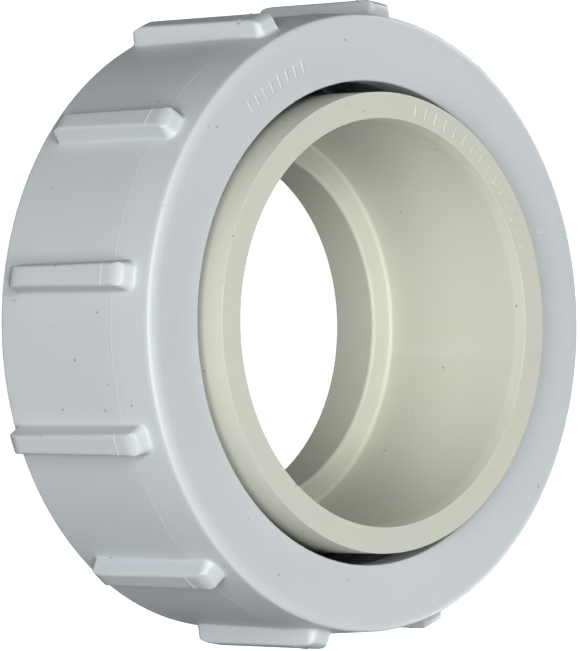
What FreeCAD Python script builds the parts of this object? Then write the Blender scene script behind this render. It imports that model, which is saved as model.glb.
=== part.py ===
import FreeCAD, Part
import os

import Sketcher

# Half of a 2 inch PVC pipe union: a ribbed union nut, hung loosely on a slip-socket tailpiece that
# carries the face-seal O-ring. The common axis is +Z. The mouth of the socket looks up, and the O-ring
# lies on the plane Z = 0. The nut is loose along the axis and stays a little above that plane.

SIZES = {
    # union nut, drawn from its own rear rim upwards and lifted to its place on the tailpiece
    "nut_lift": 1.45,
    "nut_length": 32.0,
    "nut_rear_outer": 45.65,
    "nut_widest_outer": 46.45,
    "nut_front_outer": 46.1,
    "parting_height": 24.0,
    "nut_front_round": 1.0,
    "nut_rear_round": 0.4,
    "lip_bore": 36.15,
    "lip_thick": 5.5,
    "lip_round": 0.5,
    "cavity_round": 1.2,
    "thread_root": 42.4,
    "thread_crest": 40.6,
    "thread_pitch": 6.0,
    "thread_start": 3.2,
    "thread_travel": 15.6,
    "thread_crest_width": 1.5,
    "thread_base_width": 3.7,
    "thread_bite": 0.6,
    "lead_in_height": 2.0,
    "lead_in_outer": 42.7,
    "lead_in_inner": 41.4,
    # grip ribs on the nut: twelve, every third one long enough to reach the rear rim
    "rib_quarter_count": 4,
    "rib_spacing": 30.0,
    "rib_long_start": 0.3,
    "rib_short_start": 3.0,
    "rib_bury": 1.2,
    "rib_rear_top": 48.55,
    "rib_front_top": 49.0,
    "rib_end_top": 47.5,
    "rib_rear_crest": 2.95,
    "rib_front_crest": 3.55,
    "rib_flank_run": 0.9,
    "rib_corner": 0.4,
    "rib_end_run": 1.1,
    "rib_tip_height": 28.5,
    # tailpiece
    "tail_top": 36.6,
    "tail_rear": 0.6,
    "barrel_outer": 34.4,
    "mouth_round": 0.3,
    "socket_radius": 30.25,
    "socket_depth": 28.0,
    "socket_root_round": 0.6,
    "socket_lead_in": 0.4,
    "water_way": 26.5,
    "water_way_round": 0.3,
    "flange_outer": 39.8,
    "flange_thick": 6.5,
    "flange_round": 0.6,
    # O-ring and its groove in the rear face of the flange
    "ring_centre": 34.9,
    "ring_section": 1.765,
    "ring_gap": 0.02,
    "groove_half_width": 2.4,
    # plain raised marks that both mouldings carry
    "mark_height": 0.2,
    "mark_sink": 0.3,
    "mark_width": 0.6,
    "tail_mark_inner": 31.5,
    "tail_mark_outer": 33.5,
    "tail_mark_first": 120.1,
    "tail_mark_count": 15,
    "tail_mark_span": 56.0,
    "nut_mark_inner": 39.2,
    "nut_mark_outer": 41.4,
    "nut_mark_first": 208.6,
    "nut_mark_count": 8,
    "nut_mark_span": 18.0,
}

EDGE_TOLERANCE = 1e-4

doc = FreeCAD.newDocument("union_fitting")
sheet = doc.addObject("Spreadsheet::Sheet", "sizes")
for row, (alias, value) in enumerate(SIZES.items(), start=1):
    sheet.set(f"A{row}", alias)
    sheet.set(f"B{row}", str(value))
    sheet.setAlias(f"B{row}", alias)
doc.recompute()


def new_body(name):
    body = doc.addObject("PartDesign::Body", name)
    body.Label = name
    body.Placement = FreeCAD.Placement()
    return body


def origin_plane(body, role):
    return next(item for item in body.Origin.OriginFeatures if item.Role == role)


def new_sketch(body, name, role, lift="0"):
    """An empty sketch on one of the body's own origin planes, raised by lift along its normal."""
    sketch = body.newObject("Sketcher::SketchObject", name)
    sketch.AttachmentSupport = [(origin_plane(body, role), "")]
    sketch.MapMode = "FlatFace"
    if lift != "0":
        sketch.setExpression("AttachmentOffset.Base.z", lift)
    doc.recompute()
    return sketch


def outline(sketch, corners):
    """A closed polygon. Each corner is a pair of expressions: its distances across and up."""
    values = [[float(sketch.evalExpression(text)) for text in corner] for corner in corners]
    points = [FreeCAD.Vector(across, up, 0) for across, up in values]
    first = len(sketch.Geometry)
    count = len(points)
    for start, end in zip(points, points[1:] + points[:1]):
        sketch.addGeometry(Part.LineSegment(start, end), False)
    for step in range(count):
        after = first + (step + 1) % count
        sketch.addConstraint(Sketcher.Constraint("Coincident", first + step, 2, after, 1))
    for step, (corner, value) in enumerate(zip(corners, values)):
        for kind, axis, text, size in zip(("DistanceX", "DistanceY"), (-2, -1), corner, value):
            if text == "0":
                sketch.addConstraint(Sketcher.Constraint("PointOnObject", first + step, 1, axis))
                continue
            rule = Sketcher.Constraint(kind, -1, 1, first + step, 1, size)
            sketch.setExpression(f"Constraints[{sketch.addConstraint(rule)}]", text)


def pattern(body, name, feature, sketch, count, span):
    """Copies of a feature, count in all, over an angle of span about the sketch's normal."""
    copies = body.newObject("PartDesign::PolarPattern", name)
    copies.Originals = [feature]
    copies.Axis = (sketch, ["N_Axis"])
    copies.setExpression("Angle", span)
    copies.setExpression("Occurrences", count)
    body.Tip = copies
    doc.recompute()
    return copies


def revolve(body, name, corners):
    """A full turn about Z of a polygon drawn in the XZ plane."""
    sketch = new_sketch(body, name + "_outline", "XZ_Plane")
    outline(sketch, corners)
    turned = body.newObject("PartDesign::Revolution", name)
    turned.Profile = (sketch, [""])
    turned.ReferenceAxis = (sketch, ["V_Axis"])
    turned.Angle = 360
    doc.recompute()
    return turned


def groove(body, name, corners):
    """The same, cut away. The volume has to fall."""
    before = body.Shape.Volume
    sketch = new_sketch(body, name + "_outline", "XZ_Plane")
    outline(sketch, corners)
    cut = body.newObject("PartDesign::Groove", name)
    cut.Profile = (sketch, [""])
    cut.ReferenceAxis = (sketch, ["V_Axis"])
    cut.Angle = 360
    doc.recompute()
    if body.Shape.Volume > before - 1:
        raise ValueError(name + " cut nothing")
    return cut


def round_rings(body, name, size, rings):
    """Rounds the circular edges about Z that have the given radius and height."""
    base = body.Tip
    wanted = [(sheet.evalExpression(radius), sheet.evalExpression(height)) for radius, height in rings]
    names = []
    for number, edge in enumerate(base.Shape.Edges, start=1):
        curve = edge.Curve
        if not isinstance(curve, Part.Circle):
            continue
        for radius, height in wanted:
            off = max(abs(curve.Radius - radius), abs(curve.Center.z - height))
            if off < EDGE_TOLERANCE:
                names.append(f"Edge{number}")
    if len(names) != len(rings):
        raise ValueError(f"{name} found {len(names)} of {len(rings)} edges")
    fillet = body.newObject("PartDesign::Fillet", name)
    fillet.Base = (base, names)
    fillet.setExpression("Radius", size)
    doc.recompute()
    return fillet


def turn_sketch(sketch, angle):
    """Turns a sketch about its own normal by an expression in degrees."""
    sketch.AttachmentOffset = FreeCAD.Placement(
        sketch.AttachmentOffset.Base, FreeCAD.Rotation(FreeCAD.Vector(0, 0, 1), 1)
    )
    sketch.setExpression("AttachmentOffset.Rotation.Angle", angle)


def raised_marks(body, name, face, inner, outer, first, count, span):
    """Plain radial bars, evenly spaced along an arc, that stand on the face at that height."""
    before = body.Shape.Volume
    sketch = new_sketch(body, name + "_outline", "XY_Plane", f"{face} - sizes.mark_sink")
    turn_sketch(sketch, first)
    half = "sizes.mark_width / 2"
    outline(sketch, [(inner, f"-{half}"), (outer, f"-{half}"), (outer, half), (inner, half)])
    bar = body.newObject("PartDesign::Pad", name + "_bar")
    bar.Profile = (sketch, [""])
    bar.setExpression("Length", "sizes.mark_height + sizes.mark_sink")
    doc.recompute()
    one_bar = body.Shape.Volume - before
    pattern(body, name, bar, sketch, count, span)
    missing = body.Shape.Volume - before - one_bar * sheet.evalExpression(count)
    if one_bar <= 0 or abs(missing) > one_bar / 2:
        raise ValueError(name + " are incomplete")


# Union nut: a drafted shell with an inner lip at the top, a coarse internal thread and grip ribs.
nut = new_body("union_nut")
nut.setExpression("Placement.Base.z", "sizes.nut_lift")
revolve(
    nut,
    "nut_shell",
    [
        ("sizes.nut_rear_outer", "0"),
        ("sizes.nut_widest_outer", "sizes.parting_height"),
        ("sizes.nut_front_outer", "sizes.nut_length"),
        ("sizes.lip_bore", "sizes.nut_length"),
        ("sizes.lip_bore", "sizes.nut_length - sizes.lip_thick"),
        ("sizes.thread_root", "sizes.nut_length - sizes.lip_thick"),
        ("sizes.thread_root", "0"),
    ],
)
lip_underside = "sizes.nut_length - sizes.lip_thick"
round_rings(nut, "front_round", "sizes.nut_front_round", [("sizes.nut_front_outer", "sizes.nut_length")])
round_rings(nut, "rear_round", "sizes.nut_rear_round", [("sizes.nut_rear_outer", "0")])
round_rings(
    nut,
    "lip_rounds",
    "sizes.lip_round",
    [("sizes.lip_bore", "sizes.nut_length"), ("sizes.lip_bore", lip_underside)],
)
round_rings(nut, "cavity_corner", "sizes.cavity_round", [("sizes.thread_root", lip_underside)])


def rib_section(name, angle, lift, top, crest):
    """One cross-section of a grip rib: a crest with cut corners on flanks that widen into the wall."""
    sketch = new_sketch(nut, name, "XY_Plane", lift)
    turn_sketch(sketch, angle)
    foot = "sizes.nut_rear_outer - sizes.rib_bury"
    half_crest = f"{crest} / 2"
    half_foot = f"{crest} / 2 + sizes.rib_flank_run"
    outline(
        sketch,
        [
            (foot, f"-({half_foot})"),
            (f"{top} - sizes.rib_corner", f"-({half_crest})"),
            (top, f"-({half_crest}) + sizes.rib_corner"),
            (top, f"{half_crest} - sizes.rib_corner"),
            (f"{top} - sizes.rib_corner", half_crest),
            (foot, half_foot),
        ],
    )
    return sketch


def quarter_ribs(name, angle, start):
    """Four grip ribs at quarter turns, the first at that angle, each with two blunt sloping ends."""
    before = nut.Shape.Volume
    heel = f"{start} + sizes.rib_end_run"
    tip = "sizes.rib_tip_height"
    shoulder = "sizes.rib_tip_height - sizes.rib_end_run"
    rear_crest = "sizes.rib_rear_crest"
    front_crest = "sizes.rib_front_crest"
    sections = [
        rib_section(name + "_rear", angle, start, "sizes.rib_end_top", rear_crest),
        rib_section(name + "_heel", angle, heel, "sizes.rib_rear_top", rear_crest),
        rib_section(name + "_shoulder", angle, shoulder, "sizes.rib_front_top", front_crest),
        rib_section(name + "_tip", angle, tip, "sizes.rib_end_top", front_crest),
    ]
    rib = nut.newObject("PartDesign::AdditiveLoft", name)
    rib.Profile = (sections[0], [""])
    rib.Sections = [(sketch, [""]) for sketch in sections[1:]]
    rib.Ruled = True
    doc.recompute()
    one_rib = nut.Shape.Volume - before
    pattern(nut, name + "_pattern", rib, sections[0], "sizes.rib_quarter_count", "360")
    missing = nut.Shape.Volume - before - one_rib * SIZES["rib_quarter_count"]
    if one_rib < 1 or abs(missing) > 1:
        raise ValueError(name + " are incomplete")


quarter_ribs("long_ribs", "sizes.rib_spacing", "sizes.rib_long_start")
quarter_ribs("short_ribs", "0", "sizes.rib_short_start")
quarter_ribs("short_ribs_beside", "2 * sizes.rib_spacing", "sizes.rib_short_start")

thread_sketch = new_sketch(nut, "thread_outline", "XZ_Plane")
outline(
    thread_sketch,
    [
        ("sizes.thread_root + sizes.thread_bite", "sizes.thread_start - sizes.thread_base_width / 2"),
        ("sizes.thread_root", "sizes.thread_start - sizes.thread_base_width / 2"),
        ("sizes.thread_crest", "sizes.thread_start - sizes.thread_crest_width / 2"),
        ("sizes.thread_crest", "sizes.thread_start + sizes.thread_crest_width / 2"),
        ("sizes.thread_root", "sizes.thread_start + sizes.thread_base_width / 2"),
        ("sizes.thread_root + sizes.thread_bite", "sizes.thread_start + sizes.thread_base_width / 2"),
    ],
)
plain_volume = nut.Shape.Volume
thread = nut.newObject("PartDesign::AdditiveHelix", "thread")
thread.Profile = (thread_sketch, [""])
thread.ReferenceAxis = (thread_sketch, ["V_Axis"])
thread.Mode = "pitch-height-angle"
thread.setExpression("Pitch", "sizes.thread_pitch")
thread.setExpression("Height", "sizes.thread_travel")
thread.Angle = 0
doc.recompute()
if nut.Shape.Volume < plain_volume + 100:
    raise ValueError("the thread added nothing")
groove(
    nut,
    "thread_lead_in",
    [
        ("sizes.lead_in_outer", "-1"),
        ("sizes.lead_in_outer", "0"),
        ("sizes.lead_in_inner", "sizes.lead_in_height"),
        ("sizes.lead_in_inner - 3", "sizes.lead_in_height"),
        ("sizes.lead_in_inner - 3", "-1"),
    ],
)
raised_marks(
    nut,
    "nut_marks",
    "sizes.nut_length",
    "sizes.nut_mark_inner",
    "sizes.nut_mark_outer",
    "sizes.nut_mark_first",
    "sizes.nut_mark_count",
    "sizes.nut_mark_span",
)

# Tailpiece: a slip socket with a flange at its rear end, larger than the lip of the nut.
tail = new_body("tailpiece")
flange_top = "sizes.tail_rear + sizes.flange_thick"
socket_floor = "sizes.tail_top - sizes.socket_depth"
revolve(
    tail,
    "tail_wall",
    [
        ("sizes.water_way", "sizes.tail_rear"),
        ("sizes.flange_outer", "sizes.tail_rear"),
        ("sizes.flange_outer", flange_top),
        ("sizes.barrel_outer", flange_top),
        ("sizes.barrel_outer", "sizes.tail_top"),
        ("sizes.socket_radius", "sizes.tail_top"),
        ("sizes.socket_radius", socket_floor),
        ("sizes.water_way", socket_floor),
    ],
)
round_rings(
    tail,
    "mouth_edge",
    "sizes.mouth_round",
    [("sizes.barrel_outer", "sizes.tail_top")],
)
round_rings(tail, "socket_edge", "sizes.socket_lead_in", [("sizes.socket_radius", "sizes.tail_top")])
round_rings(tail, "socket_root", "sizes.socket_root_round", [("sizes.socket_radius", socket_floor)])
round_rings(
    tail,
    "water_way_edges",
    "sizes.water_way_round",
    [("sizes.water_way", socket_floor), ("sizes.water_way", "sizes.tail_rear")],
)
round_rings(
    tail,
    "flange_edges",
    "sizes.flange_round",
    [
        ("sizes.flange_outer", "sizes.tail_rear"),
        ("sizes.flange_outer", flange_top),
        ("sizes.barrel_outer", flange_top),
    ],
)
groove_roof = "2 * sizes.ring_section + sizes.ring_gap"
groove(
    tail,
    "ring_groove",
    [
        ("sizes.ring_centre - sizes.groove_half_width", "-1"),
        ("sizes.ring_centre + sizes.groove_half_width", "-1"),
        ("sizes.ring_centre + sizes.groove_half_width", groove_roof),
        ("sizes.ring_centre - sizes.groove_half_width", groove_roof),
    ],
)
raised_marks(
    tail,
    "tail_marks",
    "sizes.tail_top",
    "sizes.tail_mark_inner",
    "sizes.tail_mark_outer",
    "sizes.tail_mark_first",
    "sizes.tail_mark_count",
    "sizes.tail_mark_span",
)

# O-ring: seals against the face of the mating half. It stands proud of the flange.
ring = new_body("o_ring")
torus = ring.newObject("PartDesign::AdditiveTorus", "ring_torus")
torus.AttachmentSupport = [(origin_plane(ring, "XY_Plane"), "")]
torus.MapMode = "FlatFace"
torus.setExpression("Radius1", "sizes.ring_centre")
torus.setExpression("Radius2", "sizes.ring_section")
torus.setExpression("AttachmentOffset.Base.z", "sizes.ring_section")
doc.recompute()

for item in doc.Objects:
    if {"Invalid", "Error"} & set(item.State):
        raise ValueError(f"{item.Name} failed: {item.State}")

os.makedirs("parts", exist_ok=True)
for body in (nut, tail, ring):
    shape = body.Shape
    if shape.isNull() or not shape.isValid() or len(shape.Solids) != 1:
        raise ValueError(body.Label + " is not one valid solid")
    box = shape.BoundBox
    print(f"{body.Label}: {shape.Volume:.0f} mm3, Z {box.ZMin:.2f} to {box.ZMax:.2f}, X {box.XLength:.2f}")
    shape.exportStep(os.path.join("parts", body.Label + ".step"))
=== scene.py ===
import math

import bpy
import numpy as np
from mathutils import Matrix, Vector


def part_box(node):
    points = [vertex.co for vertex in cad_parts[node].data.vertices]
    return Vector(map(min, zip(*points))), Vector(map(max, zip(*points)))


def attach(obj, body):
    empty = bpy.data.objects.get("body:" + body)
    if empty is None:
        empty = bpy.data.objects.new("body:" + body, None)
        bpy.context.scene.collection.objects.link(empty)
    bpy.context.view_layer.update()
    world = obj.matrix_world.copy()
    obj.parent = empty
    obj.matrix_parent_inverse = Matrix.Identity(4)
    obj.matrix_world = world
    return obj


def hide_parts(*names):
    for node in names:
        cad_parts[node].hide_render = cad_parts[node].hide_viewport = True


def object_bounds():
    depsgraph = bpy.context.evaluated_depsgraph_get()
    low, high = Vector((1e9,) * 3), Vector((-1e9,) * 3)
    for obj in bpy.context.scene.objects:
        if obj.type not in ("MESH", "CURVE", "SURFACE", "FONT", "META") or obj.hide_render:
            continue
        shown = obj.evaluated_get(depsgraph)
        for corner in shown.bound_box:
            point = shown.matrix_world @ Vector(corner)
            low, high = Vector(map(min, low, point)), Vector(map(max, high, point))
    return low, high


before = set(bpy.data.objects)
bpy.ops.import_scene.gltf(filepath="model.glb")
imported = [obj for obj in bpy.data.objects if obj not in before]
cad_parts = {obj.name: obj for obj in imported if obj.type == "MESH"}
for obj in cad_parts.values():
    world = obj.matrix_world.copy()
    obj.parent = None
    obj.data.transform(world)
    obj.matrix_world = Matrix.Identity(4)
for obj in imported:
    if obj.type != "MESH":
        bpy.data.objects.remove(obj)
cad_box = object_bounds()

MM = 0.001
TURN = 2 * math.pi
NUT_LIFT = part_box("union_nut")[0][2] / MM
# How close a straight run's extra points stand to its ends, in millimetres
EDGE_POINT = 0.12

# Union nut, in millimetres, drawn from its own rear rim upwards
NUT_LENGTH = 32.0
NUT_REAR_OUTER = 45.65
NUT_WIDEST_OUTER = 46.45
NUT_FRONT_OUTER = 46.1
PARTING_HEIGHT = 24.0
PARTING_WIDTH = 0.2
PARTING_RISE = 0.05
PARTING_BLEND = 3.0
NUT_FRONT_ROUND = 0.85
NUT_FRONT_CROWN = 2.0
NUT_REAR_ROUND = 0.4
LIP_BORE = 36.15
LIP_THICK = 5.5
LIP_ROUND = 0.3
CAVITY_ROUND = 1.2

# Its thread and the lead-in at the rear
THREAD_ROOT = 42.4
THREAD_CREST = 40.6
THREAD_PITCH = 6.0
THREAD_START = 3.2
THREAD_TRAVEL = 15.6
THREAD_CREST_WIDTH = 1.5
THREAD_BASE_WIDTH = 3.7
THREAD_STEP = 0.4
THREAD_FADE = 0.6
LEAD_IN_OUTER = 42.6
LEAD_IN_INNER = 41.4
LEAD_IN_HEIGHT = 2.0

# Grip ribs: every third one is long and reaches the nut's rear rim
RIB_COUNT = 12
LONG_RIB_EVERY = 3
FIRST_LONG_RIB = 1
RIB_REAR_TOP = 48.55
RIB_FRONT_TOP = 49.0
RIB_REAR_CREST = 2.95
RIB_FRONT_CREST = 3.55
RIB_LONG_START = 0.3
RIB_SHORT_START = 3.0
RIB_TIP = 28.5
RIB_END_FOOT = 0.3
RIB_FRONT_RUN = 2.8
RIB_FRONT_DROP = 1.6
RIB_REAR_RUN = 3.2
RIB_REAR_DROP = 2.2
RIB_FRONT_SLOPE = 0.85
RIB_PLAN_ROUND = 1.7
RIB_CREST_ROUND = 0.55
RIB_FOOT_ROUND = 0.5
RIB_DRAFT = math.radians(13)
# The mould's line stands this many times higher where a rib rises past this height
RIB_FLASH = 2.4
RIB_FLASH_FROM = 0.3
COLUMNS_BETWEEN_RIBS = 9
RIB_END_STEP = 0.14

# Tailpiece
TAIL_TOP = 36.6
TAIL_REAR = 0.6
BARREL_OUTER = 34.4
MOUTH_ROUND = 0.06
SOCKET_RADIUS = 30.25
SOCKET_DEPTH = 28.0
SOCKET_ROOT_ROUND = 0.6
SOCKET_EDGE_ROUND = 0.08
SOCKET_TAPER = 0.25
SOCKET_TAPER_DEPTH = 2.0
SHOULDER_ROUND = 0.6
WATER_WAY = 26.5
WATER_WAY_ROUND = 0.3
FLANGE_OUTER = 39.8
FLANGE_THICK = 6.5
FLANGE_ROUND = 0.25
TAIL_COLUMNS = 320
GROOVE_STEP = 0.1

# O-ring and its groove
RING_CENTRE = 34.9
RING_SECTION = 1.765
GROOVE_HALF_WIDTH = 2.4
GROOVE_ROOF = 2 * RING_SECTION + 0.02
GROOVE_ROUND = 0.25
RING_COLUMNS = 240
RING_SIDES = 32
RING_FLASH = 0.04

# Plain raised marks
MARK_HEIGHT = 0.09
MARK_SINK = 0.1
# Share of a mark's half width, and height over the face, from its foot to its top
MARK_LAYERS = (
    (1.0, -MARK_SINK),
    (1.0, 0.0),
    (0.82, 0.6 * MARK_HEIGHT),
    (0.6, 0.9 * MARK_HEIGHT),
    (0.4, MARK_HEIGHT),
)
MARK_END_STEPS = 8
MARK_WIDTH = 0.55
TAIL_MARK_INNER = 31.5
TAIL_MARK_OUTER = 33.5
TAIL_MARK_FIRST = 120.1
TAIL_MARK_SPAN = 56.0
TAIL_MARK_COUNT = 15
NUT_MARK_INNER = 39.2
NUT_MARK_OUTER = 41.4
NUT_MARK_FIRST = 208.6
NUT_MARK_SPAN = 18.0
NUT_MARK_COUNT = 8
# Inner and outer radius, width and angle of the one wide mark
NUT_SINGLE_MARK = (39.2, 41.1, 1.1, 119.4)

# View: the camera looks down on the mouth, rolled so that the axis lies across the picture
VIEW_AZIMUTH = math.radians(9.2)
VIEW_ELEVATION = math.radians(44.56)
VIEW_ROLL = math.radians(0.95)
VIEW_DISTANCE = 1342.9
VIEW_LENS = 497.7
AIM_RIGHT = -11.96
AIM_UP = -0.39

# Studio: each light's angle round from the view, its elevation, size in metres, power and colour
LIGHT_DISTANCE = 2.6
LIGHTS = {
    "upper_key": (-27, 53, 0.6, 27.5, (1.0, 1.0, 1.0)),
    "lower_key": (27, 53, 0.6, 25.5, (1.0, 1.0, 1.0)),
    "low_front": (2, 29, 1.5, 48.0, (1.0, 1.0, 1.0)),
    "cool_side": (95, 25, 1.6, 5.0, (0.95, 0.95, 1.0)),
    "rear_left": (155, 5, 1.5, 34.0, (1.0, 1.0, 1.0)),
    "rear_right": (205, 5, 1.5, 34.0, (1.0, 1.0, 1.0)),
}
ROOM_LIGHT = 0.05
ROOM_RADIUS = 2500.0
ROOM_HEIGHT = 2500.0
ROOM_COVE = 600.0
ROOM_GLOW = 0.75
ROOM_COLUMNS = 96

# Finishes: noise scales are in cells per metre, bump depths in metres
CLOUD_SCALE = 38
FINE_SCALE = 1400
SCUFF_SCALE = 160
SCUFF_STRETCH = (1.0, 1.0, 0.12)
STREAK_SCALE = 900
STREAK_STRETCH = (1.0, 1.0, 0.03)
SPECK_CELLS = 300
SPECK_SIZE = 0.07
SPECK_SHARE = 0.45
SPECK_STRENGTH = 0.7
SPECK_COLOUR = (96, 92, 88)
SCUFF_PALENESS = 1.07
GLOSS_SPREAD = 0.035
BLOOM_SCALE = 260
GRAIN_SCALE = 2600
PVC_IOR = 1.53
PVC_SPECULAR = 0.4
RUBBER_IOR = 1.5


# ---------------------------------------------------------------- mesh helpers


def new_object(name, vertices, faces, material):
    """A smooth-shaded mesh object from points in millimetres."""
    mesh = bpy.data.meshes.new(name)
    mesh.from_pydata([Vector(v) * MM for v in vertices], [], faces)
    mesh.validate()
    mesh.shade_smooth()
    mesh.materials.append(material)
    piece = bpy.data.objects.new(name, mesh)
    bpy.context.scene.collection.objects.link(piece)
    return piece


def ring_faces(rows, columns):
    """Quads of a grid that closes on itself both ways, row after row."""
    faces = []
    for row in range(rows):
        after = (row + 1) % rows
        for column in range(columns):
            right = (column + 1) % columns
            low = row * columns
            high = after * columns
            faces.append((low + column, low + right, high + right, high + column))
    return faces


def arc(centre_radius, centre_height, size, start, end, steps):
    """Points of a round in the radius-height plane. Angles in degrees, 0 outwards and 90 up."""
    points = []
    for step in range(steps + 1):
        angle = math.radians(start + (end - start) * step / steps)
        points.append((centre_radius + size * math.cos(angle), centre_height + size * math.sin(angle)))
    return points


def line(start, end, count):
    """Points between two ends, with one close to each end so that smooth shading stays flat."""
    shares = [EDGE_POINT / max(math.dist(start, end), EDGE_POINT * 4)]
    shares += [step / count for step in range(1, count)]
    shares += [1 - shares[0]]
    return [
        (start[0] + (end[0] - start[0]) * share, start[1] + (end[1] - start[1]) * share) for share in shares
    ]


def revolved(name, profile, columns, material):
    """A closed profile of radius and height, turned about Z."""
    angles = np.arange(columns) * TURN / columns
    vertices = []
    for radius, height in profile:
        for angle in angles:
            vertices.append((radius * math.cos(angle), radius * math.sin(angle), height))
    return new_object(name, vertices, ring_faces(len(profile), columns), material)


# ---------------------------------------------------------------- union nut


def wall_outer(height):
    """Outer radius of the nut's wall, which drafts both ways from the parting line of its mould."""
    rear_slope = (NUT_WIDEST_OUTER - NUT_REAR_OUTER) / PARTING_HEIGHT
    front_slope = (NUT_FRONT_OUTER - NUT_WIDEST_OUTER) / (NUT_LENGTH - PARTING_HEIGHT)
    past = height - PARTING_HEIGHT
    if abs(past) < PARTING_BLEND:
        run = past + PARTING_BLEND
        bend = (front_slope - rear_slope) * run**2 / (4 * PARTING_BLEND)
        return NUT_WIDEST_OUTER - rear_slope * PARTING_BLEND + rear_slope * run + bend
    return NUT_WIDEST_OUTER + past * (rear_slope if past < 0 else front_slope)


def along_rib(height, rear, front):
    """A size that changes evenly from a rib's rear to its tip."""
    share = min(max(height, 0) / RIB_TIP, 1)
    return rear + (front - rear) * share


def rib_half_section(half_crest, rise):
    """Points of half a rib's section from its middle outwards: offset, and height over the wall."""
    arc_centre = half_crest - RIB_CREST_ROUND
    points = [(arc_centre * share, rise) for share in (0.0, 0.4, 0.8)]
    for angle in np.linspace(math.pi / 2, RIB_DRAFT, 6):
        across = arc_centre + RIB_CREST_ROUND * math.cos(angle)
        points.append((across, rise - RIB_CREST_ROUND + RIB_CREST_ROUND * math.sin(angle)))
    foot_height = RIB_FOOT_ROUND * (1 - math.sin(RIB_DRAFT))
    run = (points[-1][1] - foot_height) * math.tan(RIB_DRAFT)
    points.append((points[-1][0] + run / 2, (points[-1][1] + foot_height) / 2))
    foot_centre = points[-1][0] + run / 2 + RIB_FOOT_ROUND * math.cos(RIB_DRAFT)
    for angle in np.linspace(RIB_DRAFT, math.pi / 2, 6):
        across = foot_centre - RIB_FOOT_ROUND * math.cos(angle)
        points.append((across, RIB_FOOT_ROUND * (1 - math.sin(angle))))
    return points


def depth_in_rib(across, height, start, half_width):
    """How far inside a rib's rounded outline a place on the wall is, seen from straight above."""
    low = start - RIB_END_FOOT
    high = RIB_TIP + RIB_END_FOOT
    front = (height - (high - RIB_PLAN_ROUND)) * RIB_FRONT_SLOPE
    rear = low + RIB_PLAN_ROUND - height
    beside = abs(across) - (half_width - RIB_PLAN_ROUND)
    beyond = max(front, rear)
    if min(beside, beyond) > 0:
        return RIB_PLAN_ROUND - math.hypot(beside, beyond)
    return RIB_PLAN_ROUND - max(beside, beyond)


def ellipse_drop(inside, run, drop):
    """How far a quarter ellipse has curved down, that far inside the end of its run."""
    share = min(max(1 - inside / run, 0), 1)
    return drop * (1 - math.sqrt(1 - share**2))


def crest_drop(height, start):
    """How far a rib's crest has curved down towards its nearer end."""
    rear = ellipse_drop(height - start, RIB_REAR_RUN, RIB_REAR_DROP)
    front = ellipse_drop(RIB_TIP - height, RIB_FRONT_RUN, RIB_FRONT_DROP)
    return max(rear, front)


def nut_columns(height):
    """Angles of the grid's columns at that height, and how far the ribs raise each column."""
    half_crest = along_rib(height, RIB_REAR_CREST, RIB_FRONT_CREST) / 2
    rise = along_rib(height, RIB_REAR_TOP, RIB_FRONT_TOP) - wall_outer(height)
    half = rib_half_section(half_crest, rise)
    half_width = half[-1][0]
    depths = [half_width - across for across, level in reversed(half)]
    levels = [level for across, level in reversed(half)]
    section = [-across for across, level in reversed(half[1:])] + [across for across, level in half]
    sector = TURN / RIB_COUNT
    edge = half_width / NUT_WIDEST_OUTER
    gap = sector - 2 * edge
    angles = []
    raised = []
    for number in range(RIB_COUNT):
        middle = number * sector
        is_long = number % LONG_RIB_EVERY == FIRST_LONG_RIB
        start = RIB_LONG_START if is_long else RIB_SHORT_START
        highest = rise - crest_drop(height, start)
        for across in section:
            angles.append(middle + across / NUT_WIDEST_OUTER)
            level = np.interp(depth_in_rib(across, height, start, half_width), depths, levels)
            raised.append(min(level, highest))
        for step in range(1, COLUMNS_BETWEEN_RIBS):
            angles.append(middle + edge + gap * step / COLUMNS_BETWEEN_RIBS)
            raised.append(0.0)
    return np.array(angles), np.array(raised)


def thread_radius(angles, height):
    """Inner wall of the threaded part: one right-hand ridge that winds up from the rear."""
    turns = (angles % TURN) / TURN
    place = (height - THREAD_START) / THREAD_PITCH - turns
    nearest = np.round(place)
    along = (nearest + turns) * THREAD_PITCH
    off_centre = np.abs(place - nearest) * THREAD_PITCH
    flank = (THREAD_BASE_WIDTH - THREAD_CREST_WIDTH) / 2
    ridge = np.clip((THREAD_BASE_WIDTH / 2 - off_centre) / flank, 0, 1)
    ridge = ridge * ridge * (3 - 2 * ridge)
    begun = np.clip(along / THREAD_FADE + 0.5, 0, 1)
    unfinished = np.clip((THREAD_TRAVEL - along) / THREAD_FADE + 0.5, 0, 1)
    ends = begun * unfinished
    radius = THREAD_ROOT - (THREAD_ROOT - THREAD_CREST) * ridge * ends
    if height < LEAD_IN_HEIGHT:
        cone = LEAD_IN_OUTER + (LEAD_IN_INNER - LEAD_IN_OUTER) * height / LEAD_IN_HEIGHT
        radius = np.maximum(radius, cone)
    return radius


def outer_heights():
    """Heights of the outer wall's rows, close together where the wall or a rib's end turns."""
    half = PARTING_WIDTH / 2
    rows = list(np.arange(NUT_REAR_ROUND + 0.1, 2.4, RIB_END_STEP))
    rows += list(np.arange(RIB_SHORT_START - RIB_END_FOOT - 0.1, 5.4, RIB_END_STEP))
    rows += list(np.arange(6.0, 23.0, 1.5))
    rows += [PARTING_HEIGHT + offset for offset in (-0.6, -2 * half, -half, 0.0, half, 2 * half, 0.6)]
    rows += list(np.arange(25.3, RIB_TIP + RIB_END_FOOT + 0.15, RIB_END_STEP))
    rows += [29.6, 30.4, NUT_LENGTH - NUT_FRONT_ROUND - 0.2]
    return rows


def parting_rise(height):
    """Height of the thin line that the two halves of the mould leave round the wall."""
    return PARTING_RISE * max(0.0, 1 - abs(height - PARTING_HEIGHT) / (PARTING_WIDTH / 2))


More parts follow.
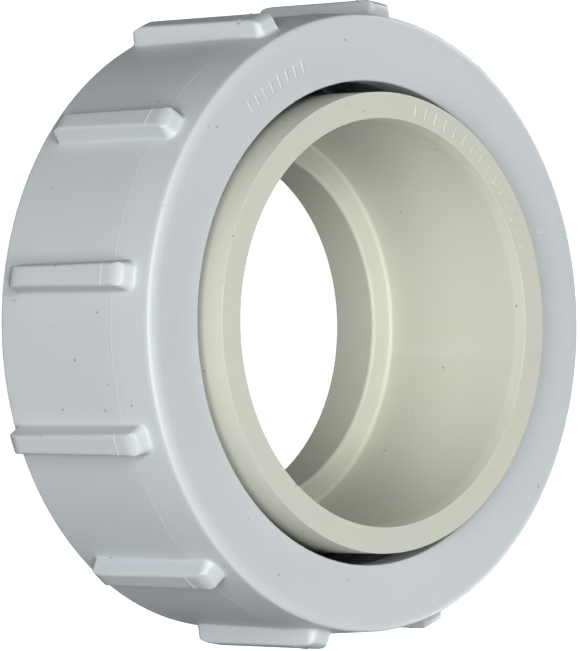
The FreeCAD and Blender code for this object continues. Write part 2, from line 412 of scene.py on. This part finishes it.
def nut_outline():
    """Radii and heights of the nut's smooth surfaces, from the outer wall's front round to the cavity."""
    underside = NUT_LENGTH - LIP_THICK
    face_outer = NUT_FRONT_OUTER - NUT_FRONT_CROWN
    points = []
    for across, level in arc(0, 0, 1, 0, 90, 14):
        points.append((face_outer + across * NUT_FRONT_CROWN, NUT_LENGTH + (level - 1) * NUT_FRONT_ROUND))
    points += line((face_outer, NUT_LENGTH), (LIP_BORE + LIP_ROUND, NUT_LENGTH), 5)
    points += arc(LIP_BORE + LIP_ROUND, NUT_LENGTH - LIP_ROUND, LIP_ROUND, 90, 180, 5)
    points += line((LIP_BORE, NUT_LENGTH - LIP_ROUND), (LIP_BORE, underside + LIP_ROUND), 3)
    points += arc(LIP_BORE + LIP_ROUND, underside + LIP_ROUND, LIP_ROUND, 180, 270, 5)
    points += line((LIP_BORE + LIP_ROUND, underside), (THREAD_ROOT - CAVITY_ROUND, underside), 3)
    points += arc(THREAD_ROOT - CAVITY_ROUND, underside - CAVITY_ROUND, CAVITY_ROUND, 90, 0, 6)
    return points


def outer_row(radius, height):
    """A row of the grid on the outer wall, with its ribs and the line that the mould leaves."""
    angles, raised = nut_columns(height)
    flash = parting_rise(height) * np.where(raised > RIB_FLASH_FROM, RIB_FLASH, 1.0)
    return radius + raised + flash, angles, height


def plain_row(radius, height):
    """A round row of the grid."""
    angles = nut_columns(height)[0]
    return np.full(len(angles), radius), angles, height


def thread_row(height):
    """A row of the grid on the threaded wall."""
    angles = nut_columns(height)[0]
    return thread_radius(angles, height), angles, height


def make_nut(material):
    """One closed grid: every row runs round the axis, and the rows run out, over, in and down the nut."""
    rear = arc(NUT_REAR_OUTER - NUT_REAR_ROUND, NUT_REAR_ROUND, NUT_REAR_ROUND, -90, 0, 5)
    wall = [(wall_outer(height), height) for height in outer_heights()]
    thread_top = NUT_LENGTH - LIP_THICK - CAVITY_ROUND - THREAD_STEP
    thread_heights = [*np.arange(thread_top, 0.35, -THREAD_STEP), 0.15, 0.0]
    rim = line((LEAD_IN_OUTER, 0.0), (NUT_REAR_OUTER - NUT_REAR_ROUND, 0.0), 2)[:-1]
    rows = [outer_row(radius, height) for radius, height in rear + wall]
    rows += [plain_row(radius, height) for radius, height in nut_outline()]
    rows += [thread_row(height) for height in thread_heights]
    rows += [plain_row(radius, height) for radius, height in rim]
    vertices = []
    for radii, angles, height in rows:
        for radius, angle in zip(radii, angles):
            vertices.append((radius * math.cos(angle), radius * math.sin(angle), height + NUT_LIFT))
    columns = len(rows[0][1])
    return new_object("union_nut_body", vertices, ring_faces(len(rows), columns), material)


# ---------------------------------------------------------------- tailpiece and O-ring


def tail_rear_outline():
    """The flange's rear face and groove, from the water way outwards."""
    inner_land = RING_CENTRE - GROOVE_HALF_WIDTH
    outer_land = RING_CENTRE + GROOVE_HALF_WIDTH
    roof_corner = GROOVE_ROOF - GROOVE_ROUND
    way_centre = WATER_WAY + WATER_WAY_ROUND
    points = arc(way_centre, TAIL_REAR + WATER_WAY_ROUND, WATER_WAY_ROUND, 180, 270, 5)
    points += line((way_centre, TAIL_REAR), (inner_land, TAIL_REAR), 2)
    points += [(inner_land, TAIL_REAR), (inner_land, TAIL_REAR + GROOVE_STEP)]
    points += arc(inner_land + GROOVE_ROUND, roof_corner, GROOVE_ROUND, 180, 90, 4)
    points += line((inner_land + GROOVE_ROUND, GROOVE_ROOF), (outer_land - GROOVE_ROUND, GROOVE_ROOF), 2)
    points += arc(outer_land - GROOVE_ROUND, roof_corner, GROOVE_ROUND, 90, 0, 4)
    points += [(outer_land, TAIL_REAR + GROOVE_STEP), (outer_land, TAIL_REAR)]
    points += line((outer_land, TAIL_REAR), (FLANGE_OUTER - FLANGE_ROUND, TAIL_REAR), 2)
    return points


def tail_outer_outline():
    """The flange's edge and front, and the barrel up to its mouth."""
    flange_top = TAIL_REAR + FLANGE_THICK
    edge = FLANGE_OUTER - FLANGE_ROUND
    low = TAIL_REAR + FLANGE_ROUND
    high = flange_top - FLANGE_ROUND
    foot = BARREL_OUTER + FLANGE_ROUND
    mouth_edge = TAIL_TOP - MOUTH_ROUND
    points = arc(edge, low, FLANGE_ROUND, -90, 0, 5)
    points += line((FLANGE_OUTER, low), (FLANGE_OUTER, high), 2)
    points += arc(edge, high, FLANGE_ROUND, 0, 90, 5)
    points += line((edge, flange_top), (foot, flange_top), 2)
    points += arc(foot, flange_top + FLANGE_ROUND, FLANGE_ROUND, 270, 180, 5)
    points += line((BARREL_OUTER, flange_top + FLANGE_ROUND), (BARREL_OUTER, mouth_edge), 6)
    points += arc(BARREL_OUTER - MOUTH_ROUND, mouth_edge, MOUTH_ROUND, 0, 90, 6)
    return points


def tail_inner_outline():
    """The mouth, the socket with its lead-in, the shoulder and the water way."""
    floor = TAIL_TOP - SOCKET_DEPTH
    mouth = SOCKET_RADIUS + SOCKET_TAPER
    mouth_edge = TAIL_TOP - SOCKET_EDGE_ROUND
    taper_end = TAIL_TOP - SOCKET_TAPER_DEPTH
    root = SOCKET_RADIUS - SOCKET_ROOT_ROUND
    root_top = floor + SOCKET_ROOT_ROUND
    shoulder = WATER_WAY + SHOULDER_ROUND
    points = line((BARREL_OUTER - MOUTH_ROUND, TAIL_TOP), (mouth + SOCKET_EDGE_ROUND, TAIL_TOP), 3)
    points += arc(mouth + SOCKET_EDGE_ROUND, mouth_edge, SOCKET_EDGE_ROUND, 90, 180, 6)
    points += line((mouth, mouth_edge), (SOCKET_RADIUS, taper_end), 3)
    points += line((SOCKET_RADIUS, taper_end), (SOCKET_RADIUS, root_top), 6)
    points += arc(root, root_top, SOCKET_ROOT_ROUND, 0, -90, 8)
    points += line((root, floor), (shoulder, floor), 2)
    points += arc(shoulder, floor - SHOULDER_ROUND, SHOULDER_ROUND, 90, 180, 6)
    points += line((WATER_WAY, floor - SHOULDER_ROUND), (WATER_WAY, TAIL_REAR + WATER_WAY_ROUND), 2)
    return points


def make_tailpiece(material):
    """The whole moulding, turned from one closed outline."""
    profile = tail_rear_outline() + tail_outer_outline() + tail_inner_outline()
    return revolved("tailpiece_body", profile, TAIL_COLUMNS, material)


def make_ring(material):
    """A round section with the faint flash that its mould leaves inside and outside."""
    profile = []
    for side in range(RING_SIDES):
        angle = TURN * side / RING_SIDES
        size = RING_SECTION - RING_FLASH
        if side % (RING_SIDES // 2) == 0:
            size = RING_SECTION
        profile.append((RING_CENTRE + size * math.cos(angle), RING_SECTION + size * math.sin(angle)))
    return revolved("o_ring_body", profile, RING_COLUMNS, material)


def mark_outline(inner, outer, width, turn, share):
    """Points round a bar with half-round ends that lies along a radius, shrunk to a share of its width."""
    half = width / 2
    points = []
    for centre, first in ((outer - half, -math.pi / 2), (inner + half, math.pi / 2)):
        for step in range(MARK_END_STEPS):
            angle = first + math.pi * step / (MARK_END_STEPS - 1)
            along = centre + half * share * math.cos(angle)
            across = half * share * math.sin(angle)
            x = along * math.cos(turn) - across * math.sin(turn)
            y = along * math.sin(turn) + across * math.cos(turn)
            points.append((x, y))
    return points


def make_marks(name, face, bars, material):
    """Plain rounded bars that stand a little above a flat face. Each is inner, outer, width and angle."""
    vertices = []
    faces = []
    around = 2 * MARK_END_STEPS
    rise = (len(MARK_LAYERS) - 1) * around
    for inner, outer, width, angle in bars:
        base = len(vertices)
        for share, level in MARK_LAYERS:
            for x, y in mark_outline(inner, outer, width, math.radians(angle), share):
                vertices.append((x, y, face + level))
        for start in range(base, base + rise, around):
            for step in range(around):
                after = (step + 1) % around
                over = start + around
                faces.append((start + step, start + after, over + after, over + step))
        faces.append(tuple(range(base, base + around))[::-1])
        top = base + rise
        faces.append(tuple(range(top, top + around)))
    return new_object(name, vertices, faces, material)


def even_bars(inner, outer, first, span, count):
    """Equal marks, evenly spread over an angle."""
    return [(inner, outer, MARK_WIDTH, first + span * number / (count - 1)) for number in range(count)]


# ---------------------------------------------------------------- materials


def new_material(name):
    """A node material, with its nodes, its links and its shader."""
    material = bpy.data.materials.new(name)
    material.use_nodes = True
    nodes = material.node_tree.nodes
    shader = nodes["Principled BSDF"]
    return material, nodes, material.node_tree.links, shader


def noise(nodes, links, coordinates, scale, detail, stretch=None):
    """A noise texture in the object's own metres, optionally squeezed along its axes."""
    source = coordinates
    if stretch:
        mapping = nodes.new("ShaderNodeMapping")
        mapping.inputs["Scale"].default_value = stretch
        links.new(coordinates, mapping.inputs["Vector"])
        source = mapping.outputs["Vector"]
    texture = nodes.new("ShaderNodeTexNoise")
    texture.inputs["Scale"].default_value = scale
    texture.inputs["Detail"].default_value = detail
    links.new(source, texture.inputs["Vector"])
    return texture.outputs["Fac"]


def ranged(nodes, links, value, low, high, to_low, to_high):
    """A value carried over from one range to another, and held at its ends."""
    node = nodes.new("ShaderNodeMapRange")
    node.inputs["From Min"].default_value = low
    node.inputs["From Max"].default_value = high
    node.inputs["To Min"].default_value = to_low
    node.inputs["To Max"].default_value = to_high
    links.new(value, node.inputs["Value"])
    return node.outputs["Result"]


def math_node(nodes, links, operation, first, second):
    """One operation on two numbers or outputs."""
    node = nodes.new("ShaderNodeMath")
    node.operation = operation
    for socket, value in zip(node.inputs, (first, second)):
        if isinstance(value, (int, float)):
            socket.default_value = value
        else:
            links.new(value, socket)
    return node.outputs["Value"]


def mixed(nodes, links, share, first, second):
    """One colour turning into another as the share goes from 0 to 1."""
    node = nodes.new("ShaderNodeMix")
    node.data_type = "RGBA"
    inputs = (node.inputs["Factor"], node.inputs[6], node.inputs[7])
    for socket, value in zip(inputs, (share, first, second)):
        if isinstance(value, (int, float, tuple)):
            socket.default_value = value
        else:
            links.new(value, socket)
    return node.outputs[2]


def linear(red, green, blue):
    """A colour given in display values from 0 to 255, as the shader's linear colour."""
    values = []
    for value in (red, green, blue):
        share = value / 255
        values.append(share / 12.92 if share <= 0.04045 else ((share + 0.055) / 1.055) ** 2.4)
    return (*values, 1.0)


def bump_node(nodes, links, height, strength, distance, under=None):
    """A bump from a height, on top of another bump where one is given."""
    bump = nodes.new("ShaderNodeBump")
    bump.inputs["Strength"].default_value = strength
    bump.inputs["Distance"].default_value = distance
    links.new(height, bump.inputs["Height"])
    if under:
        links.new(under, bump.inputs["Normal"])
    return bump.outputs["Normal"]


def specks(nodes, links, coordinates, cells, size, chosen):
    """1 on small round specks: one in each chosen cell of a scattered pattern, 0 elsewhere."""
    texture = nodes.new("ShaderNodeTexVoronoi")
    texture.inputs["Scale"].default_value = cells
    links.new(coordinates, texture.inputs["Vector"])
    near = ranged(nodes, links, texture.outputs["Distance"], size, size * 0.55, 0, 1)
    split = nodes.new("ShaderNodeSeparateColor")
    links.new(texture.outputs["Color"], split.inputs["Color"])
    picked = math_node(nodes, links, "GREATER_THAN", split.outputs["Red"], 1 - chosen)
    return math_node(nodes, links, "MULTIPLY", near, picked)


def moulded_pvc(name, colour, warm, roughness):
    """Injection-moulded PVC: faint flow clouding, a fine satin skin, handling scuffs and a few specks."""
    material, nodes, links, shader = new_material(name)
    place = nodes.new("ShaderNodeTexCoord").outputs["Object"]
    clouds = noise(nodes, links, place, CLOUD_SCALE, 3)
    fine = noise(nodes, links, place, FINE_SCALE, 2)
    scuff_lines = noise(nodes, links, place, SCUFF_SCALE, 4, stretch=SCUFF_STRETCH)
    streaks = noise(nodes, links, place, STREAK_SCALE, 2, stretch=STREAK_STRETCH)
    scuffs = ranged(nodes, links, scuff_lines, 0.62, 0.72, 0, 1)
    tint = ranged(nodes, links, clouds, 0.35, 0.65, 0, 1)
    base = mixed(nodes, links, tint, colour, warm)
    pale = tuple(min(1.0, value * SCUFF_PALENESS) for value in colour[:3]) + (1.0,)
    base = mixed(nodes, links, math_node(nodes, links, "MULTIPLY", scuffs, 0.35), base, pale)
    dirt = specks(nodes, links, place, SPECK_CELLS, SPECK_SIZE, SPECK_SHARE)
    dirt = math_node(nodes, links, "MULTIPLY", dirt, SPECK_STRENGTH)
    base = mixed(nodes, links, dirt, base, linear(*SPECK_COLOUR))
    links.new(base, shader.inputs["Base Color"])
    gloss = ranged(nodes, links, clouds, 0.3, 0.7, roughness - GLOSS_SPREAD, roughness + GLOSS_SPREAD)
    gloss = math_node(nodes, links, "ADD", gloss, math_node(nodes, links, "MULTIPLY", scuffs, 0.1))
    links.new(gloss, shader.inputs["Roughness"])
    waves = bump_node(nodes, links, clouds, 0.25, 0.0004)
    drawn = bump_node(nodes, links, streaks, 0.1, 0.0001, under=waves)
    skin = bump_node(nodes, links, fine, 0.12, 0.00006, under=drawn)
    links.new(skin, shader.inputs["Normal"])
    shader.inputs["IOR"].default_value = PVC_IOR
    shader.inputs["Specular IOR Level"].default_value = PVC_SPECULAR
    return material


def seal_rubber():
    """Moulded rubber with a dusty bloom."""
    material, nodes, links, shader = new_material("seal_rubber_finish")
    place = nodes.new("ShaderNodeTexCoord").outputs["Object"]
    bloom = noise(nodes, links, place, BLOOM_SCALE, 4)
    grain = noise(nodes, links, place, GRAIN_SCALE, 2)
    dust = ranged(nodes, links, bloom, 0.45, 0.75, 0, 1)
    base = mixed(nodes, links, dust, linear(24, 24, 25), linear(46, 46, 47))
    links.new(base, shader.inputs["Base Color"])
    links.new(ranged(nodes, links, bloom, 0.3, 0.7, 0.42, 0.6), shader.inputs["Roughness"])
    links.new(bump_node(nodes, links, grain, 0.2, 0.00005), shader.inputs["Normal"])
    shader.inputs["IOR"].default_value = RUBBER_IOR
    return material


# ---------------------------------------------------------------- stage


def view_axes():
    """Right, up and back of the camera."""
    sin_a = math.sin(VIEW_AZIMUTH)
    cos_a = math.cos(VIEW_AZIMUTH)
    sin_e = math.sin(VIEW_ELEVATION)
    cos_e = math.cos(VIEW_ELEVATION)
    back = Vector((sin_a * cos_e, -cos_a * cos_e, sin_e))
    axis_in_picture = (Vector((0, 0, 1)) - back * back.z).normalized()
    side = back.cross(axis_in_picture)
    right = axis_in_picture * math.cos(VIEW_ROLL) - side * math.sin(VIEW_ROLL)
    up = axis_in_picture * math.sin(VIEW_ROLL) + side * math.cos(VIEW_ROLL)
    return right, up, back


def make_camera():
    """The scene's camera, aimed near the middle of the nut's front face."""
    right, up, back = view_axes()
    aim = Vector((0, 0, NUT_LIFT + NUT_LENGTH)) + right * AIM_RIGHT + up * AIM_UP
    data = bpy.data.cameras.new("photo_view")
    data.lens = VIEW_LENS
    data.sensor_width = 36.0
    data.clip_end = 100
    camera = bpy.data.objects.new("photo_view", data)
    turn = Matrix((right, up, back)).transposed().to_4x4()
    camera.matrix_world = Matrix.Translation((aim + back * VIEW_DISTANCE) * MM) @ turn
    bpy.context.scene.collection.objects.link(camera)
    bpy.context.scene.camera = camera


def make_light(name, aside, elevation, size, power, colour):
    """A round soft box that shines at the middle of the object."""
    azimuth = VIEW_AZIMUTH + math.radians(aside)
    level = math.cos(math.radians(elevation))
    rise = math.sin(math.radians(elevation))
    direction = Vector((math.sin(azimuth) * level, -math.cos(azimuth) * level, rise))
    data = bpy.data.lights.new(name, "AREA")
    data.shape = "DISK"
    data.size = size
    data.energy = power
    data.color = colour
    light = bpy.data.objects.new(name, data)
    light.location = direction * LIGHT_DISTANCE
    light.rotation_euler = (-direction).to_track_quat("-Z", "Y").to_euler()
    bpy.context.scene.collection.objects.link(light)


def make_lights():
    """All the soft boxes, and a little light from all round."""
    for name, settings in LIGHTS.items():
        make_light(name, *settings)
    world = bpy.data.worlds.new("soft_room")
    world.use_nodes = True
    background = world.node_tree.nodes["Background"]
    background.inputs["Color"].default_value = (1, 1, 1, 1)
    background.inputs["Strength"].default_value = ROOM_LIGHT
    bpy.context.scene.world = world


def make_room():
    """A pale floor that curves up into a wall and a ceiling all round, open to the soft room light."""
    low = cad_box[0][2] / MM
    profile = [(0.0, low)]
    profile += [(ROOM_RADIUS * share, low) for share in (0.05, 0.2, 0.5)]
    profile += arc(ROOM_RADIUS - ROOM_COVE, low + ROOM_COVE, ROOM_COVE, -90, 0, 12)
    profile += arc(ROOM_RADIUS - ROOM_COVE, ROOM_HEIGHT - ROOM_COVE, ROOM_COVE, 0, 90, 12)
    vertices = []
    for radius, height in profile:
        for column in range(ROOM_COLUMNS):
            angle = TURN * column / ROOM_COLUMNS
            vertices.append((radius * math.cos(angle), radius * math.sin(angle), height))
    faces = ring_faces(len(profile), ROOM_COLUMNS)[: (len(profile) - 1) * ROOM_COLUMNS]
    material, *_, shader = new_material("pale_room")
    shader.inputs["Base Color"].default_value = (0.85, 0.85, 0.85, 1)
    shader.inputs["Roughness"].default_value = 0.9
    shader.inputs["Specular IOR Level"].default_value = 0.0
    shader.inputs["Emission Color"].default_value = (1, 1, 1, 1)
    shader.inputs["Emission Strength"].default_value = ROOM_GLOW
    room = new_object("pale_room", vertices, faces, material)
    room.visible_diffuse = False
    room.visible_glossy = False
    room.visible_shadow = False


# ---------------------------------------------------------------- assembly

make_camera()
make_lights()
make_room()
bpy.context.scene.view_settings.view_transform = "Standard"

nut_pvc = moulded_pvc("nut_pvc_finish", linear(190, 195, 197), linear(187, 193, 197), 0.44)
tail_pvc = moulded_pvc("tail_pvc_finish", linear(192, 194, 183), linear(194, 195, 181), 0.4)
rubber = seal_rubber()

nut = make_nut(nut_pvc)
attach(nut, "nut")
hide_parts("union_nut")

nut_bars = even_bars(NUT_MARK_INNER, NUT_MARK_OUTER, NUT_MARK_FIRST, NUT_MARK_SPAN, NUT_MARK_COUNT)
nut_marks = make_marks("union_nut_marks", NUT_LIFT + NUT_LENGTH, nut_bars + [NUT_SINGLE_MARK], nut_pvc)
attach(nut_marks, "nut")

tail = make_tailpiece(tail_pvc)
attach(tail, "tailpiece")
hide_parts("tailpiece")

tail_bars = even_bars(TAIL_MARK_INNER, TAIL_MARK_OUTER, TAIL_MARK_FIRST, TAIL_MARK_SPAN, TAIL_MARK_COUNT)
tail_marks = make_marks("tailpiece_marks", TAIL_TOP, tail_bars, tail_pvc)
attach(tail_marks, "tailpiece")

ring = make_ring(rubber)
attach(ring, "tailpiece")
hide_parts("o_ring")
